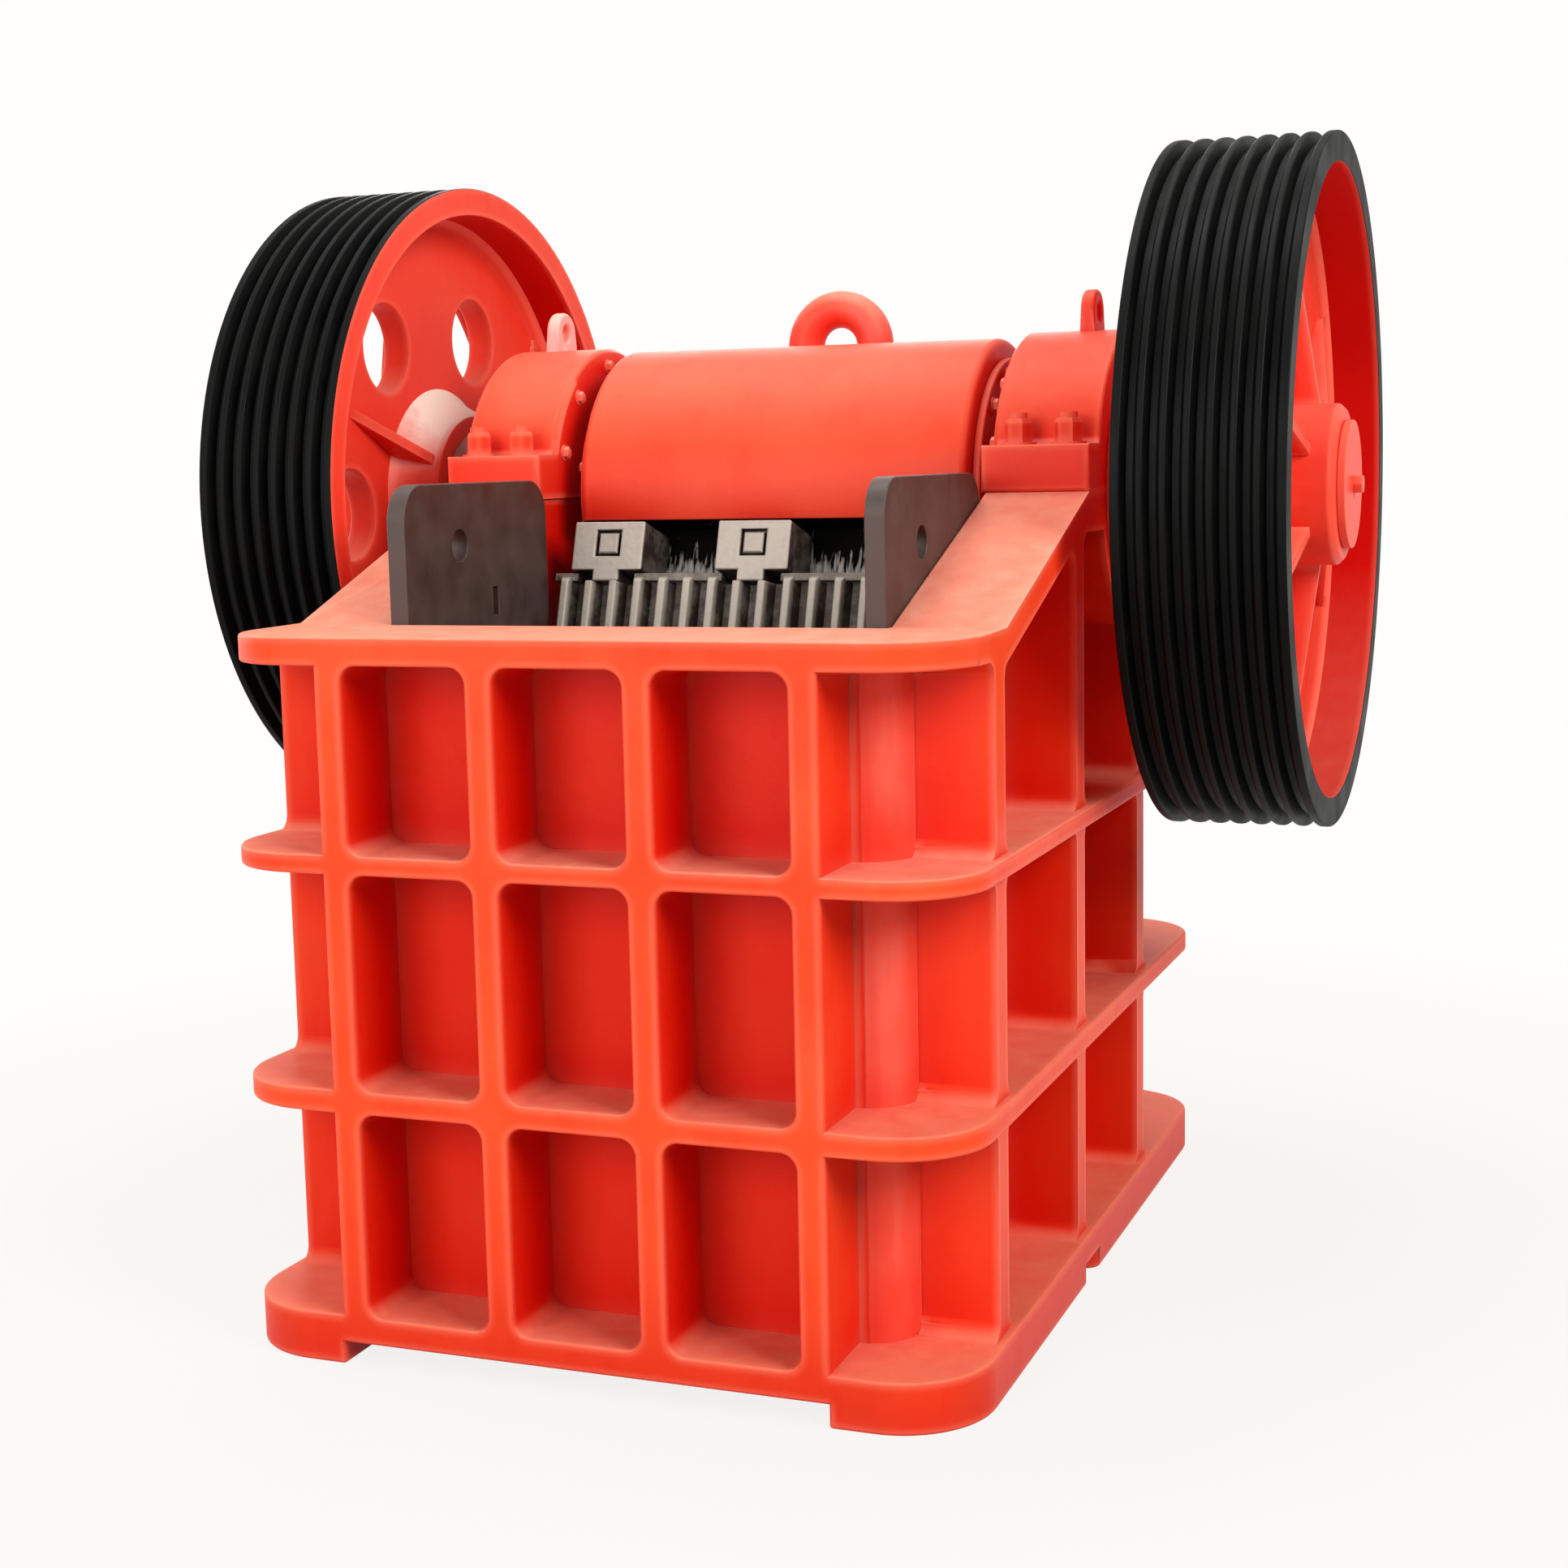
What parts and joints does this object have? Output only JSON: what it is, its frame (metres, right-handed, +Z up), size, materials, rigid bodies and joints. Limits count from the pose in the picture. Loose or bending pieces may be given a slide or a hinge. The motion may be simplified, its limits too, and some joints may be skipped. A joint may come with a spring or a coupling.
{
  "type": "jaw crusher",
  "caption": "Single-toggle jaw crusher with a ribbed cast frame, swing jaw on an eccentric shaft and a grooved flywheel on each side.",
  "frame": {"origin": "on the ground under the middle of the machine's outer box", "axes": "+X along the eccentric shaft to the right as seen from the feed side, +Y to the rear, +Z up"},
  "size_m": [1.668, 1.4394, 1.6025],
  "materials": {
    "frame_paint": "red enamel over cast steel, dusty on the ledges",
    "wheel_paint": "red enamel on the cast web and hub",
    "rim_paint": "black enamel on the grooved rim, dulled by dust",
    "cheek_steel": "dark brown primer on rolled plate",
    "jaw_steel": "bare cast manganese steel with rust in the valleys",
    "plain_steel": "machined steel",
    "toggle_iron": "rough cast iron"
  },
  "bodies": {
    "frame": {"front_wall": "frame_paint", "rear_wall": "frame_paint", "left_side_wall": "frame_paint", "right_side_wall": "frame_paint", "left_bearing_cap": "frame_paint", "right_bearing_cap": "frame_paint", "left_bearing_cover": "frame_paint", "right_bearing_cover": "frame_paint", "left_upper_cheek_plate": "cheek_steel", "right_upper_cheek_plate": "cheek_steel", "left_lower_cheek_plate": "cheek_steel", "right_lower_cheek_plate": "cheek_steel", "fixed_jaw_plate": "jaw_steel", "rear_toggle_seat": "plain_steel", "toggle_plate": "toggle_iron", "tension_spring": "plain_steel"},
    "swing_jaw": {"swing_jaw": "frame_paint", "left_end_cover": "frame_paint", "right_end_cover": "frame_paint", "lifting_eye": "frame_paint", "moving_jaw_plate": "jaw_steel", "left_clamp_block": "jaw_steel", "middle_clamp_block": "jaw_steel", "right_clamp_block": "jaw_steel", "jaw_toggle_seat": "plain_steel", "tension_rod": "plain_steel"},
    "rotor": {"eccentric_shaft": "plain_steel", "left_flywheel": "wheel_paint", "right_flywheel": "wheel_paint", "left_flywheel_hub": "wheel_paint", "right_flywheel_hub": "wheel_paint", "left_flywheel_rim": "rim_paint", "right_flywheel_rim": "rim_paint", "left_hub_end_plate": "frame_paint", "right_hub_end_plate": "frame_paint"}
  },
  "joints": [
    {"name": "shaft_spin", "type": "hinge", "parent": "frame", "child": "rotor", "pos_m": [0, 0.22525, 1.108], "axis": [1, 0, 0], "continuous": true},
    {"name": "jaw_swing", "type": "hinge", "parent": "frame", "child": "swing_jaw", "pos_m": [0, 0.22525, 1.108], "axis": [-1, 0, 0], "range_deg": [0, 1.2], "deforming": ["tension_spring"]}
  ]
}
